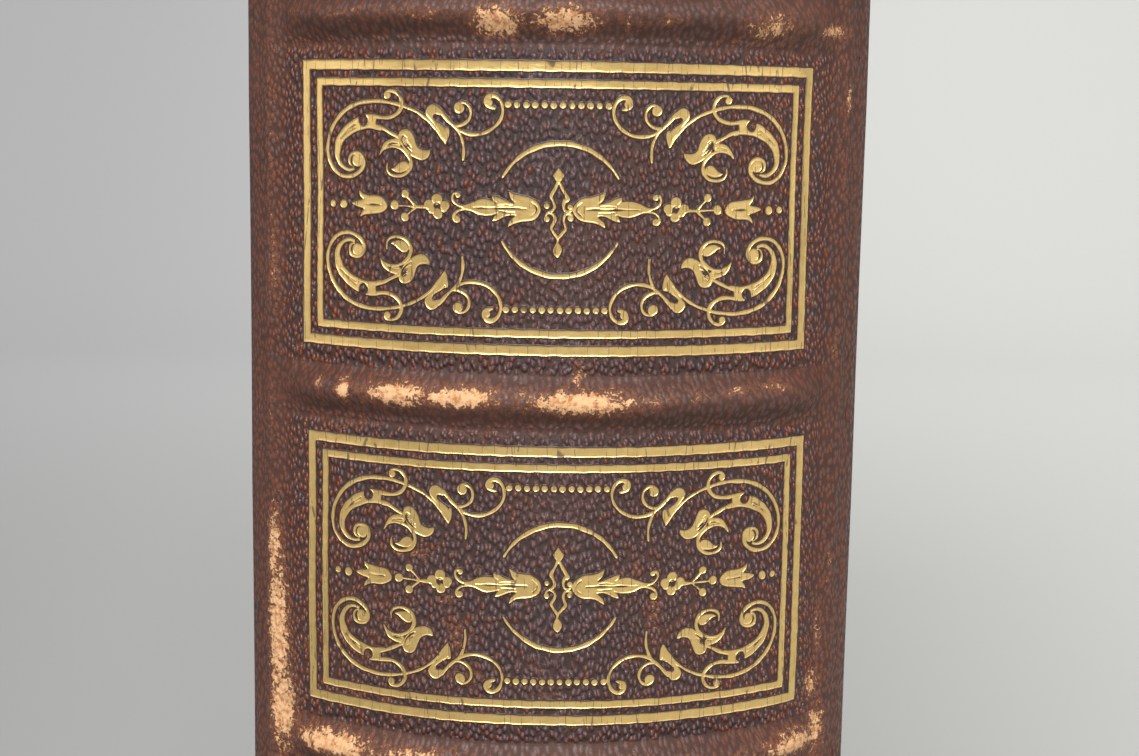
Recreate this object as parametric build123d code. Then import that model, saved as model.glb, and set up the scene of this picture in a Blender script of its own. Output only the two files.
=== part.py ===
"""Antique leather book with five raised bands, standing on its tail edges.

The text block, with a rounded back and a hollow fore edge, carries the spine. The two boards
swing on the leather joints beside it. Units are millimetres. X runs across the thickness, with
the front cover at +X. Y runs from the spine (-Y) to the fore edge (+Y). Z is up, from the tail
to the head. The origin is the centre of the book's footprint, on the surface it stands on.
"""

from build123d import *
import os
from math import asin, cos, degrees, radians, sqrt

# ---- the whole book
BOOK_HEIGHT = 245.0
BOOK_DEPTH = 170.0  # crest of the bands to the fore edge of the boards
BOOK_THICKNESS = 70.4  # over the leather of both boards
SQUARE = 3.5  # how far the boards stand past the leaves

# ---- rounded spine: everything here is concentric about one upright axis
SPINE_RADIUS = 45.0  # outer leather, between the bands
SPINE_HALF_ANGLE = 47.7
SPINE_LEATHER = 1.2
INLAY = 0.6  # card that stiffens the leather and carries the bands
HOLLOW = 0.2  # gap of the hollow back
LINING = 0.5  # mull and paper glued to the folds of the leaves

# ---- raised bands
BAND_HEIGHTS = (206.2, 165.9, 125.6, 85.3, 45.0)  # centres, from head to tail
BAND_RISE = 1.8
BAND_WIDTH = 5.6
BAND_FILLET = 0.8
BAND_HALF_ANGLE = 43.0
RIDGE_HALF_ANGLE = 45.0
FADE_OFFSET = 12.0  # an upright cylinder, set off this far to the back, trims the bands' ends
FADE_ANGLE = 44.0  # and the ridges have faded into the wall here
CORE_WIDTH = 4.4
CORE_RISE = 1.9

# ---- head and tail
CAP_LIP = 3.4  # the headcap reaches this far in, over part of the headband
CAP_THICKNESS = 1.2
HEADBAND_RADIUS = 1.1
HEADBAND_HALF_ANGLE = 41.0

# ---- sewing cords, sunk in sawn kerfs across the folds
SEWING_CORD_HEIGHTS = (205.0, 149.0, 96.0, 40.0)
SEWING_CORD_RADIUS = 0.8
SEWING_CORD_HALF_ANGLE = 46.0
KERF_DEPTH = 1.7
KERF_WIDTH = 1.8

# ---- boards and endpapers
BOARD = 3.2
BOARD_LEATHER = 0.8
TURN_IN = 14.0
TURN_IN_THICKNESS = 0.4
PASTEDOWN = 0.2
PASTEDOWN_MARGIN = 4.0
FLYLEAF = 0.2
COVER_GAP = 0.3  # between a pastedown and the flyleaf that faces it
EDGE_ROUND = 0.7
CORNER_ROUND = 2.0

# ---- joints: the hinge lines lie in the leather beside the shoulders
HINGE_X = 34.9
HINGE_Y = -65.6
BOARD_BACK_EDGE = HINGE_Y + 2.8
LEATHER_BACK_EDGE = HINGE_Y + 1.9

# ---- worked out
FORE_EDGE = BOOK_DEPTH / 2
CROWN_Y = -BOOK_DEPTH / 2 + BAND_RISE
AXIS_Y = CROWN_Y + SPINE_RADIUS
SPINE_AXIS = Axis((0, AXIS_Y, 0), (0, 0, 1))
LEATHER_INNER = SPINE_RADIUS - SPINE_LEATHER
INLAY_INNER = LEATHER_INNER - INLAY
LINING_OUTER = INLAY_INNER - HOLLOW
BLOCK_BACK_RADIUS = LINING_OUTER - LINING
FADE_RADIUS = sqrt(
    SPINE_RADIUS**2 + FADE_OFFSET**2 - 2 * SPINE_RADIUS * FADE_OFFSET * cos(radians(FADE_ANGLE))
)
BOARD_OUTER_X = BOOK_THICKNESS / 2
BOARD_INNER_X = BOARD_OUTER_X - BOARD_LEATHER - BOARD
FLYLEAF_OUTER_X = BOARD_INNER_X - PASTEDOWN - COVER_GAP
BLOCK_HALF = FLYLEAF_OUTER_X - FLYLEAF
SHOULDER_X = BLOCK_HALF + 2.0
SHOULDER_FOOT_Y = BOARD_BACK_EDGE - 0.6
BLOCK_FORE_EDGE = FORE_EDGE - SQUARE
BLOCK_LOW = SQUARE
BLOCK_HIGH = BOOK_HEIGHT - SQUARE


def radial_plane(angle):
    """Upright plane through the spine axis: local x is the radius at this angle, local y is Z."""
    turned = Plane.XY.rotated((0, 0, angle))
    outward = -turned.y_dir
    return Plane(origin=(0, AXIS_Y, 0), x_dir=outward, z_dir=outward.cross(Vector(0, 0, 1)))


def swept_about_spine(section, half_angle):
    """Turns a radius-height section about the spine axis, evenly either side of the crown."""
    start = radial_plane(-half_angle) * section
    return revolve(start, axis=SPINE_AXIS, revolution_arc=2 * half_angle)


def strip(radius_low, radius_high, low, high):
    """Rectangle in the radius-height plane."""
    centre = Pos((radius_low + radius_high) / 2, (low + high) / 2)
    return centre * Rectangle(radius_high - radius_low, high - low)


def round_back(radius, height, width, rise):
    """Segment of a circle that stands on a base of that radius, with its crest rise above it."""
    curve = (width**2 / 4 + rise**2) / (2 * rise)
    centre = radius + rise - curve
    return Pos(centre, height) * Circle(curve) & strip(
        radius, radius + 2 * rise, height - width, height + width
    )


def wall_section():
    """Section of the spine leather between the bands: a thin wall with a lip, the headcap, at both ends."""
    wall = strip(LEATHER_INNER, SPINE_RADIUS, 0, BOOK_HEIGHT)
    inner = SPINE_RADIUS - CAP_LIP
    wall += strip(inner, SPINE_RADIUS, BOOK_HEIGHT - CAP_THICKNESS, BOOK_HEIGHT)
    wall += strip(inner, SPINE_RADIUS, 0, CAP_THICKNESS)
    return fillet(wall.vertices().group_by(Axis.X)[-1], CAP_THICKNESS * 0.7)


def ridge_section(height):
    """Section of the leather moulded over one band, with soft feet."""
    ridge = strip(LEATHER_INNER, SPINE_RADIUS, height - BAND_WIDTH, height + BAND_WIDTH)
    ridge += round_back(SPINE_RADIUS, height, BAND_WIDTH, BAND_RISE)
    feet = [
        vertex
        for vertex in ridge.vertices()
        if abs(vertex.X - SPINE_RADIUS) < 1e-4 and abs(vertex.Y - height) < BAND_WIDTH * 0.9
    ]
    return fillet(feet, BAND_FILLET)


def fade(height, radius):
    """Upright cylinder that takes a ridge down gently towards the joints."""
    return Pos(0, AXIS_Y - FADE_OFFSET, height) * Cylinder(radius, 4 * BAND_WIDTH)


def raised_band(height):
    """Band glued across the card, under the leather."""
    core = round_back(LEATHER_INNER, height, CORE_WIDTH, CORE_RISE)
    leather_over = SPINE_RADIUS + BAND_RISE - LEATHER_INNER - CORE_RISE
    return swept_about_spine(core, BAND_HALF_ANGLE) & fade(height, FADE_RADIUS - leather_over)


def spine_leather():
    """The skin over the round back. The ridges fade out before the joints, as the bands do."""
    skin = swept_about_spine(wall_section(), SPINE_HALF_ANGLE)
    for height in BAND_HEIGHTS:
        skin += swept_about_spine(ridge_section(height), RIDGE_HALF_ANGLE) & fade(height, FADE_RADIUS)
    for height in BAND_HEIGHTS:
        skin -= raised_band(height)
    return skin


def text_block():
    """All the leaves as one solid: round back, shoulders for the boards, hollow fore edge, sawn kerfs."""
    shoulder_y = AXIS_Y - sqrt(BLOCK_BACK_RADIUS**2 - SHOULDER_X**2)
    fore_radius = SPINE_RADIUS + 1.0
    fore_hollow = fore_radius - sqrt(fore_radius**2 - BLOCK_HALF**2)
    outline = [
        ThreePointArc(
            (-SHOULDER_X, shoulder_y), (0, AXIS_Y - BLOCK_BACK_RADIUS), (SHOULDER_X, shoulder_y)
        ),
        Line((SHOULDER_X, shoulder_y), (BLOCK_HALF, SHOULDER_FOOT_Y)),
        Line((BLOCK_HALF, SHOULDER_FOOT_Y), (BLOCK_HALF, BLOCK_FORE_EDGE)),
        ThreePointArc(
            (BLOCK_HALF, BLOCK_FORE_EDGE),
            (0, BLOCK_FORE_EDGE - fore_hollow),
            (-BLOCK_HALF, BLOCK_FORE_EDGE),
        ),
        Line((-BLOCK_HALF, BLOCK_FORE_EDGE), (-BLOCK_HALF, SHOULDER_FOOT_Y)),
        Line((-BLOCK_HALF, SHOULDER_FOOT_Y), (-SHOULDER_X, shoulder_y)),
    ]
    block = Pos(0, 0, BLOCK_LOW) * extrude(make_face(outline), BLOCK_HIGH - BLOCK_LOW)
    kerf_half_angle = degrees(asin(SHOULDER_X / BLOCK_BACK_RADIUS)) + 5
    for height in SEWING_CORD_HEIGHTS:
        kerf = strip(
            BLOCK_BACK_RADIUS - KERF_DEPTH,
            BLOCK_BACK_RADIUS + 1,
            height - KERF_WIDTH / 2,
            height + KERF_WIDTH / 2,
        )
        block -= swept_about_spine(kerf, kerf_half_angle)
    return block


def sewing_cord(height):
    """Hemp cord that lies in its kerf, flush with the folds."""
    centre = BLOCK_BACK_RADIUS - SEWING_CORD_RADIUS
    return swept_about_spine(Pos(centre, height) * Circle(SEWING_CORD_RADIUS), SEWING_CORD_HALF_ANGLE)


def headband(low):
    """Silk-wound core that sits on the leaves behind the headcap."""
    centre = BLOCK_BACK_RADIUS - HEADBAND_RADIUS - 0.2
    section = Pos(centre, low + HEADBAND_RADIUS) * Circle(HEADBAND_RADIUS)
    return swept_about_spine(section, HEADBAND_HALF_ANGLE)


def slab(x_low, x_high, y_low, y_high, z_low, z_high):
    """Box between those planes."""
    return Pos(x_low, y_low, z_low) * Box(
        x_high - x_low, y_high - y_low, z_high - z_low, align=(Align.MIN, Align.MIN, Align.MIN)
    )


def board():
    """Pasteboard of the front cover, rebated along three edges for the leather's turn-ins."""
    low, high = BOARD_LEATHER, BOOK_HEIGHT - BOARD_LEATHER
    fore = FORE_EDGE - BOARD_LEATHER
    body = slab(BOARD_INNER_X + TURN_IN_THICKNESS, BOARD_INNER_X + BOARD, BOARD_BACK_EDGE, fore, low, high)
    raised = slab(
        BOARD_INNER_X,
        BOARD_INNER_X + BOARD,
        BOARD_BACK_EDGE,
        FORE_EDGE - TURN_IN,
        TURN_IN,
        BOOK_HEIGHT - TURN_IN,
    )
    return body + raised


def cover_leather():
    """Leather of the front cover: one skin outside, round three edges and turned in on the inner face."""
    outer = slab(BOARD_INNER_X, BOARD_OUTER_X, LEATHER_BACK_EDGE, FORE_EDGE, 0, BOOK_HEIGHT)
    corners = outer.edges().filter_by(Axis.X).group_by(Axis.Y)[-1]
    outer = fillet(corners, CORNER_ROUND)
    rim = outer.faces().sort_by(Axis.X)[-1].edges()
    rounded = [edge for edge in rim if edge.center().Y > LEATHER_BACK_EDGE + 1]
    outer = fillet(rounded, EDGE_ROUND)
    open_back = slab(
        BOARD_INNER_X - 1, BOARD_INNER_X + BOARD, LEATHER_BACK_EDGE - 1, BOARD_BACK_EDGE, -1, BOOK_HEIGHT + 1
    )
    return outer - open_back - board()


def pastedown():
    """Endpaper pasted inside the front board, over the edges of the turn-ins."""
    return slab(
        BOARD_INNER_X - PASTEDOWN,
        BOARD_INNER_X,
        BOARD_BACK_EDGE + 0.3,
        FORE_EDGE - PASTEDOWN_MARGIN,
        PASTEDOWN_MARGIN,
        BOOK_HEIGHT - PASTEDOWN_MARGIN,
    )


def flyleaf():
    """Free endpaper that lies on the front of the leaves."""
    return slab(
        BLOCK_HALF, FLYLEAF_OUTER_X, SHOULDER_FOOT_Y + 0.4, BLOCK_FORE_EDGE - 0.3, BLOCK_LOW, BLOCK_HIGH
    )


parts = {
    "text_block": text_block(),
    "spine_lining": swept_about_spine(strip(BLOCK_BACK_RADIUS, LINING_OUTER, 8, 237), 46),
    "spine_inlay": swept_about_spine(
        strip(INLAY_INNER, LEATHER_INNER, CAP_THICKNESS, BOOK_HEIGHT - CAP_THICKNESS), 46
    ),
    "spine_leather": spine_leather(),
    "headband_head": headband(BLOCK_HIGH),
    "headband_tail": headband(BLOCK_LOW - 2 * HEADBAND_RADIUS),
}

for number, height in enumerate(BAND_HEIGHTS, 1):
    parts[f"raised_band_{number}"] = raised_band(height)

for number, height in enumerate(SEWING_CORD_HEIGHTS, 1):
    parts[f"sewing_cord_{number}"] = sewing_cord(height)

for piece, shape in (
    ("board", board()),
    ("cover_leather", cover_leather()),
    ("pastedown", pastedown()),
    ("flyleaf", flyleaf()),
):
    parts[f"front_{piece}"] = shape
    parts[f"back_{piece}"] = mirror(shape, Plane.YZ)

os.makedirs("parts", exist_ok=True)
for name, shape in parts.items():
    export_step(shape, f"parts/{name}.step")
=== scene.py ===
"""Looks of the antique leather book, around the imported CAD. Sizes are in millimetres until a mesh
is made. On the spine, u is the arc from the crown, positive towards the front cover, and z is the
height above the tail."""

from math import cos, hypot, pi, radians, sin, sqrt

import bpy
import numpy as np
from mathutils import Matrix, Vector


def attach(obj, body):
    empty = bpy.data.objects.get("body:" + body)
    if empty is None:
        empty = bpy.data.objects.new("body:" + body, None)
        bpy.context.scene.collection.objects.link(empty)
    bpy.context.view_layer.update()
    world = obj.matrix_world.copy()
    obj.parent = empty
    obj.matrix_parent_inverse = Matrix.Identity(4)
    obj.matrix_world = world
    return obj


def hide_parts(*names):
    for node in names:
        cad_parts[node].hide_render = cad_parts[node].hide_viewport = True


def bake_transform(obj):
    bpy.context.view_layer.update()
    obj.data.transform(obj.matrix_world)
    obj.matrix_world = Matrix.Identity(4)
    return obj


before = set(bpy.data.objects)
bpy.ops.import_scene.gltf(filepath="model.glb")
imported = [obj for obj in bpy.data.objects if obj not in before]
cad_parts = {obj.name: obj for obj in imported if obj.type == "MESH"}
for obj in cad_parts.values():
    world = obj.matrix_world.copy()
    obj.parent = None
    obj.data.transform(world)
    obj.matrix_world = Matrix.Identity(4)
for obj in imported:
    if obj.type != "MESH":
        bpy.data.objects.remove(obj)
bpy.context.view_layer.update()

MM = 0.001
RNG = np.random.default_rng(7)

# ---- sizes of the book, as in the CAD
HEIGHT = 245.0
RADIUS = 45.0
AXIS_Y = -38.2
HALF_ARC = RADIUS * radians(47.7)
BANDS = (206.2, 165.9, 125.6, 85.3, 45.0)
BAND_RISE = 1.8
FADE_OFFSET = 12.0
FADE_RADIUS = sqrt(RADIUS**2 + FADE_OFFSET**2 - 2 * RADIUS * FADE_OFFSET * cos(radians(44.0)))
BOARD_OUT = 35.2  # outer face of the covers
FORE_EDGE = 85.0
EDGE_ROUND = 0.7
WALL = 1.2
CAP_ROUND = 0.84  # rounding of the headcaps
CAP_LIP = 3.4
TURN_IN = 14.0
COVER_DEPTH = 4.0
JOINT_DEPTH = 0.9
DYED = 0.30  # wear value of sound leather

# ---- gilt tooling
FRAME_HALF = 29.5
FRAME_HEIGHT = 30.5
PANELS = {"1": 226.0, "3": 145.75, "4": 105.45, "5": 65.15, "6": 22.0}
PANEL_SHIFT = {"3": -0.3, "4": 0.3}
BARE_PANEL_Z = 186.05
FINE_CELL, COARSE_CELL = 0.1, 0.16
HALO = 0.15  # width of the dark rim round the gold: pressed leather, and painted shadow of the impression's wall
ARC_RADIUS = 6.9


# ---- surfaces
def smooth(x):
    x = np.clip(x, 0.0, 1.0)
    return x * x * (3 - 2 * x)


def waves(u, z):
    """Slight unevenness of hand-worked leather, a few hundredths of a millimetre."""
    return (
        0.05 * np.sin(u * 0.31 + 0.7 * np.sin(z * 0.043))
        + 0.045 * np.sin(z * 0.21 + 1.3 * np.sin(u * 0.11 + 2.0))
        + 0.03 * np.sin(u * 0.83 - z * 0.37 + 0.5)
    )


def spine_lift(u, z):
    """How far the spine's leather stands off the plain cylinder."""
    theta = np.abs(u) / RADIUS
    reach = FADE_OFFSET * np.cos(theta) + np.sqrt(
        np.maximum(FADE_RADIUS**2 - (FADE_OFFSET * np.sin(theta)) ** 2, 0)
    )
    fade = smooth((reach - RADIUS) / BAND_RISE)
    lift = waves(u, z)
    for number, height in enumerate(BANDS):
        sag = 0.16 * np.sin(u * 0.08 + number * 1.7) + 0.05 * np.sin(u * 0.37 + number)
        dz = z - height - sag
        width = 2.75 + 0.12 * np.sin(u * 0.23 + number * 2.1)
        t = np.clip(np.abs(dz) / width, 0, 1)
        lift = lift + (BAND_RISE - 0.12) * fade * (0.5 + 0.5 * np.cos(pi * t)) ** 0.72
        groove = np.exp(-(((dz + 3.35) / 0.42) ** 2)) + 0.55 * np.exp(-(((dz - 3.2) / 0.36) ** 2))
        lift = lift - 0.17 * groove * (0.35 + 0.65 * fade)
    shoulder = 0.3 * np.exp(-(((np.abs(u) - 35.3) / 1.1) ** 2))
    crease = -0.12 * np.exp(-(((np.abs(u) - 32.6) / 0.9) ** 2))
    ends = smooth((HALF_ARC - np.abs(u)) / 0.8)
    return lift + (shoulder + crease) * ends


def spine_point(u, z, lift):
    r = RADIUS + lift
    a = u / RADIUS
    return np.stack([r * np.sin(a), AXIS_Y - r * np.cos(a), np.broadcast_to(z, np.shape(a))], -1)


def make_mesh(name, points, faces, uv=None, floats=None):
    """Mesh object from points in millimetres. uv is per point, floats are point attributes."""
    mesh = bpy.data.meshes.new(name)
    places = (np.asarray(points, float) * MM).tolist()
    mesh.from_pydata(places, [], [list(map(int, face)) for face in faces])
    if uv is not None:
        layer = mesh.uv_layers.new(name="UVMap")
        loops = np.zeros(len(mesh.loops), np.int32)
        mesh.loops.foreach_get("vertex_index", loops)
        layer.data.foreach_set("uv", np.asarray(uv, np.float32)[loops].ravel())
    for key, values in (floats or {}).items():
        attribute = mesh.attributes.new(key, "FLOAT", "POINT")
        attribute.data.foreach_set("value", np.asarray(values, np.float32))
    mesh.update()
    mesh.polygons.foreach_set("use_smooth", [True] * len(mesh.polygons))
    obj = bpy.data.objects.new(name, mesh)
    bpy.context.scene.collection.objects.link(obj)
    return obj


def grid_faces(rows, columns, flip=False):
    index = np.arange(rows * columns).reshape(rows, columns)
    a, b, c, d = index[:-1, :-1], index[:-1, 1:], index[1:, 1:], index[1:, :-1]
    quads = np.stack([a, b, c, d] if not flip else [d, c, b, a], -1)
    return quads.reshape(-1, 4)


# ---- wear: soft fields that the leather's material breaks up into flakes
# each patch: centre u, centre z, half width, half height, strength
WEAR = [
    # upper band in view
    (-6.6, 165.0, 2.6, 1.6, 0.95), (0.2, 165.2, 3.4, 1.3, 0.95), (-14.5, 165.7, 4.2, 0.8, 0.62),
    (-23.0, 165.8, 2.6, 0.7, 0.55), (6.8, 165.3, 1.8, 0.9, 0.62), (11.0, 165.3, 1.8, 0.9, 0.6),
    (22.4, 165.0, 3.6, 1.7, 0.74), (32.0, 165.0, 2.7, 0.8, 0.85), (-30.5, 166.0, 2.0, 0.6, 0.5),
    # middle band
    (-23.3, 126.0, 0.95, 1.25, 0.95), (-21.3, 126.1, 0.6, 1.0, 0.6),
    (-16.8, 126.0, 3.6, 1.25, 1.0), (-10.0, 126.0, 4.2, 1.1, 1.0), (-3.6, 126.2, 1.6, 0.8, 0.66),
    (2.6, 125.7, 5.6, 1.25, 1.0), (2.3, 128.2, 0.9, 2.2, 0.72), (9.6, 126.0, 2.8, 0.8, 0.66),
    (15.0, 126.3, 1.2, 0.9, 0.62), (20.0, 126.6, 3.4, 0.7, 0.6), (24.6, 126.8, 1.6, 0.6, 0.7),
    (-26.6, 126.3, 0.5, 0.9, 0.78), (-31.8, 125.8, 0.5, 0.6, 0.66), (2.2, 130.4, 0.7, 0.7, 0.55),
    # lower band in view
    (-25.0, 85.9, 5.6, 1.4, 1.0), (-14.0, 86.0, 5.5, 1.0, 0.78), (4.5, 85.6, 6.0, 1.0, 0.75),
    (15.0, 85.4, 1.6, 1.0, 0.66), (29.0, 85.4, 4.6, 1.5, 0.95), (22.0, 85.4, 3.0, 0.8, 0.62),
    # the other two bands
    (-9.0, 206.4, 6.0, 1.1, 0.8), (4.0, 206.2, 4.0, 1.2, 0.95), (15.0, 206.2, 6.0, 0.8, 0.64),
    (-24.0, 206.3, 3.0, 0.9, 0.8), (27.0, 206.2, 3.5, 1.0, 0.85), (-6.0, 45.1, 7.0, 1.2, 0.95),
    (9.0, 45.1, 4.0, 1.0, 0.75), (-22.0, 45.2, 5.0, 1.0, 0.8), (24.0, 45.0, 5.0, 1.1, 0.85),
    # scuffs between the bands
    (-24.9, 121.5, 1.0, 0.5, 0.66), (-23.3, 122.3, 0.8, 0.5, 0.64),
    (-21.7, 123.3, 0.45, 0.9, 0.62), (-26.4, 121.0, 0.7, 0.4, 0.6),
    (-30.6, 129.8, 0.5, 0.8, 0.66), (-31.2, 127.8, 0.4, 0.7, 0.58),
    (-15.6, 119.6, 1.6, 0.4, 0.62), (-15.0, 118.2, 0.5, 0.7, 0.7), (-24.6, 119.5, 0.4, 0.3, 0.6),
    (30.0, 136.0, 1.2, 0.35, 0.72), (1.8, 112.8, 1.8, 0.25, 0.5), (-23.3, 144.4, 0.9, 0.7, 0.5),
    (-19.8, 143.8, 1.0, 0.7, 0.52), (24.4, 157.0, 1.6, 1.6, 0.48),
    # lower panel
    (-17.6, 108.4, 1.4, 0.8, 0.57), (-14.6, 108.6, 1.5, 0.9, 0.6), (-8.4, 107.2, 1.4, 0.7, 0.55),
    (-11.6, 103.8, 1.5, 1.0, 0.6), (-10.6, 99.6, 2.0, 3.2, 0.56), (-12.6, 97.0, 2.4, 1.8, 0.57),
    (-9.0, 95.2, 3.2, 1.5, 0.58), (-6.4, 101.8, 0.9, 0.5, 0.6), (-2.4, 96.6, 2.4, 1.1, 0.5),
    (8.8, 107.6, 0.9, 1.0, 0.63), (8.0, 108.8, 0.6, 0.5, 0.55), (11.0, 102.8, 0.8, 3.0, 0.6),
    (11.6, 99.0, 0.7, 1.2, 0.58), (8.0, 97.4, 1.4, 1.8, 0.5), (-1.0, 94.0, 3.0, 1.0, 0.48),
    (-22.6, 92.0, 3.0, 1.0, 0.56), (-18.0, 91.8, 2.4, 0.9, 0.55), (-29.0, 95.8, 1.5, 0.8, 0.7),
    (-18.6, 100.4, 2.6, 2.2, 0.5), (-21.0, 96.0, 3.0, 1.4, 0.48), (-16.5, 104.0, 2.5, 2.0, 0.47),
    (-28.6, 99.0, 1.0, 3.0, 0.52), (18.0, 92.0, 2.0, 0.8, 0.5), (-6.0, 91.6, 3.0, 0.7, 0.5),
    # left shoulder
    (-35.0, 152.0, 0.7, 14.0, 0.54), (-34.6, 138.5, 1.1, 6.0, 0.63),
    (-35.2, 122.0, 0.6, 8.0, 0.54), (-34.8, 107.0, 1.2, 5.5, 0.84), (-34.3, 97.0, 1.7, 9.0, 0.95),
    (-33.6, 88.0, 2.2, 5.0, 0.98), (-32.6, 94.0, 1.6, 3.0, 0.64), (-35.0, 72.0, 1.1, 11.0, 0.72),
    (-34.6, 24.0, 1.6, 16.0, 0.78), (-35.0, 190.0, 0.7, 14.0, 0.56),
    (-34.8, 228.0, 1.2, 12.0, 0.68),
    # right shoulder
    (35.3, 158.0, 0.45, 1.6, 0.85), (35.1, 149.0, 0.5, 6.0, 0.52), (34.6, 130.0, 0.4, 2.4, 0.62),
    (30.9, 115.9, 0.5, 0.3, 0.75), (33.4, 98.0, 0.9, 3.5, 0.63), (32.6, 91.5, 1.5, 2.2, 0.78),
    (33.6, 86.0, 1.4, 3.0, 0.85), (34.8, 106.0, 0.5, 5.0, 0.55), (34.6, 66.0, 1.0, 10.0, 0.66),
    (34.4, 22.0, 1.5, 15.0, 0.75), (35.0, 186.0, 0.6, 14.0, 0.55), (34.8, 228.0, 1.1, 12.0, 0.7),
    # head and tail
    (0.0, 244.6, 34.0, 1.1, 0.8), (-20.0, 243.6, 9.0, 1.4, 0.66), (14.0, 243.4, 7.0, 1.6, 0.7),
    (0.0, 0.4, 34.0, 1.1, 0.85), (18.0, 1.6, 9.0, 1.5, 0.7), (-12.0, 1.4, 8.0, 1.6, 0.72),
]


def wear_field(u, z):
    field = np.full(np.shape(u), DYED)
    for cu, cz, ru, rz, strength in WEAR:
        near = (np.abs(u - cu) < 2.6 * ru) & (np.abs(z - cz) < 2.6 * rz)
        if not near.any():
            continue
        d = ((u[near] - cu) / ru) ** 2 + ((z[near] - cz) / rz) ** 2
        value = DYED + (strength - DYED) * np.exp(-(d**0.85) * 0.8)
        field[near] = np.maximum(field[near], value)
    return field


def rub_field(u, z):
    """Where the grain is rubbed smooth: the bands' flanks, the lines beside them and the sides."""
    field = np.zeros(np.shape(u))
    for height in BANDS:
        dz = z - height
        field = np.maximum(field, 1 - smooth((np.abs(dz - 0.1) - 2.5) / 0.5))
        field = np.maximum(field, 0.9 * np.exp(-(((dz + 3.2) / 0.55) ** 2)))
    side = smooth((np.abs(u) - 31.0) / 3.0)
    return np.maximum(field, 0.75 * side)


# ---- spine leather
def height_rows():
    fine, plain = ((0.25, 0.9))
    rows = [HEIGHT]
    z = HEIGHT
    while z > 0:
        near = min(abs(z - h) for h in BANDS)
        z -= fine if near < 4.6 else plain
        rows.append(max(z, 0.0))
    return np.array(sorted(set(np.round(rows, 4))))


def spine_skin():
    columns = 161
    us = np.linspace(-HALF_ARC, HALF_ARC, columns)
    zs = [z for z in height_rows() if CAP_ROUND < z < HEIGHT - CAP_ROUND]
    # each point of the section is its offset from the cylinder and its height
    low = []
    for a in np.linspace(0, pi / 2, 6):
        low.append((-CAP_ROUND * (1 - sin(a)), CAP_ROUND * (1 - cos(a))))
    high = [(d, HEIGHT - z) for d, z in reversed(low)]
    # under the lips and up the inner face
    inner_low = [(-CAP_LIP, WALL), (-CAP_LIP, 0.3), (-CAP_LIP + 0.3, 0.0)]
    inner_high = [(d, HEIGHT - z) for d, z in reversed(inner_low)]
    ring = [(-WALL, 60.0), (-WALL, WALL)] + inner_low + low + [(0.0, z) for z in zs] + high
    ring += inner_high + [(-WALL, HEIGHT - WALL), (-WALL, 184.0), (-WALL, 122.0)]
    points, uv, wear, rub = [], [], [], []
    for drop, z in ring:
        zz = np.full(columns, z)
        inside = drop <= -WALL
        lift = np.zeros(columns) if inside else spine_lift(us, zz)
        points.append(spine_point(us, zz, lift + drop))
        lean = drop if z > HEIGHT / 2 else -drop
        uv.append(np.stack([us, zz - lean], -1))
        wear.append(np.full(columns, DYED) if inside else wear_field(us, zz))
        rub.append(rub_field(us, zz))
    last = (len(ring) - 1) * columns
    closing = [[last + i, last + i + 1, i + 1, i] for i in range(columns - 1)]
    return make_mesh(
        "spine_skin",
        np.concatenate(points),
        np.concatenate([grid_faces(len(ring), columns), np.array(closing)]),
        np.concatenate(uv),
        {"wear": np.concatenate(wear), "rub": np.concatenate(rub)},
    )


# ---- covers' leather, with the joint
# the joint's section, as (x, y) from the shoulder to the board
JOINT_PATH = [(33.9, -67.8), (34.25, -67.15), (34.36, -66.45), (34.2, -65.75)]
JOINT_PATH += [(34.3, -65.1), (34.75, -64.4), (35.1, -63.8), (35.2, -63.1)]
# the turn-in's section, as (distance past the outline, depth below the outer face)
TURN_PATH = [(0.27, 0.05), (0.5, 0.2), (0.65, 0.43), (0.7, 0.7), (0.7, 2.0), (0.7, 3.3)]
TURN_PATH += [(0.6, 3.7), (0.3, 3.95), (0.0, 4.0), (-3.0, 4.0), (-3.6, 3.9)]
TURN_PATH += [(EDGE_ROUND - TURN_IN, 3.86)]


def lengths(path):
    """Distance along a path to each of its points."""
    return np.concatenate([[0], np.cumsum(np.hypot(*np.diff(path, axis=0).T))])


def edge_wear(y, z, edge):
    """Wear on a board: along its edges, at the corners, and scuffs from shelves and hands."""
    ripple = 0.06 * np.sin(y * 0.11 + z * 0.057 + 1.0) + 0.05 * np.sin(z * 0.173 - y * 0.231)
    wear = DYED + 0.26 * np.exp(-((edge / 0.8) ** 2)) + ripple * np.exp(-((edge / 1.6) ** 2))
    wear = wear + 0.13 * np.sin(y * 0.07 + 0.4) * np.sin(z * 0.045 + 1.1) * (edge > 4)
    for cz in (0.0, HEIGHT):
        corner = ((y - FORE_EDGE) ** 2 + (z - cz) ** 2) / 30.0
        wear = np.maximum(wear, 0.85 * np.exp(-corner))
    for _ in range(60):
        cy, cz, turn = RNG.uniform(-57, 82), RNG.uniform(3, 242), RNG.uniform(0, pi)
        long, short, depth = RNG.uniform(4, 16), RNG.uniform(1.6, 4), RNG.uniform(0.12, 0.36)
        a = (y - cy) * cos(turn) + (z - cz) * sin(turn)
        b = (z - cz) * cos(turn) - (y - cy) * sin(turn)
        wear = np.maximum(wear, DYED + depth * np.exp(-((a / long) ** 2) - (b / short) ** 2))
    return wear


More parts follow.
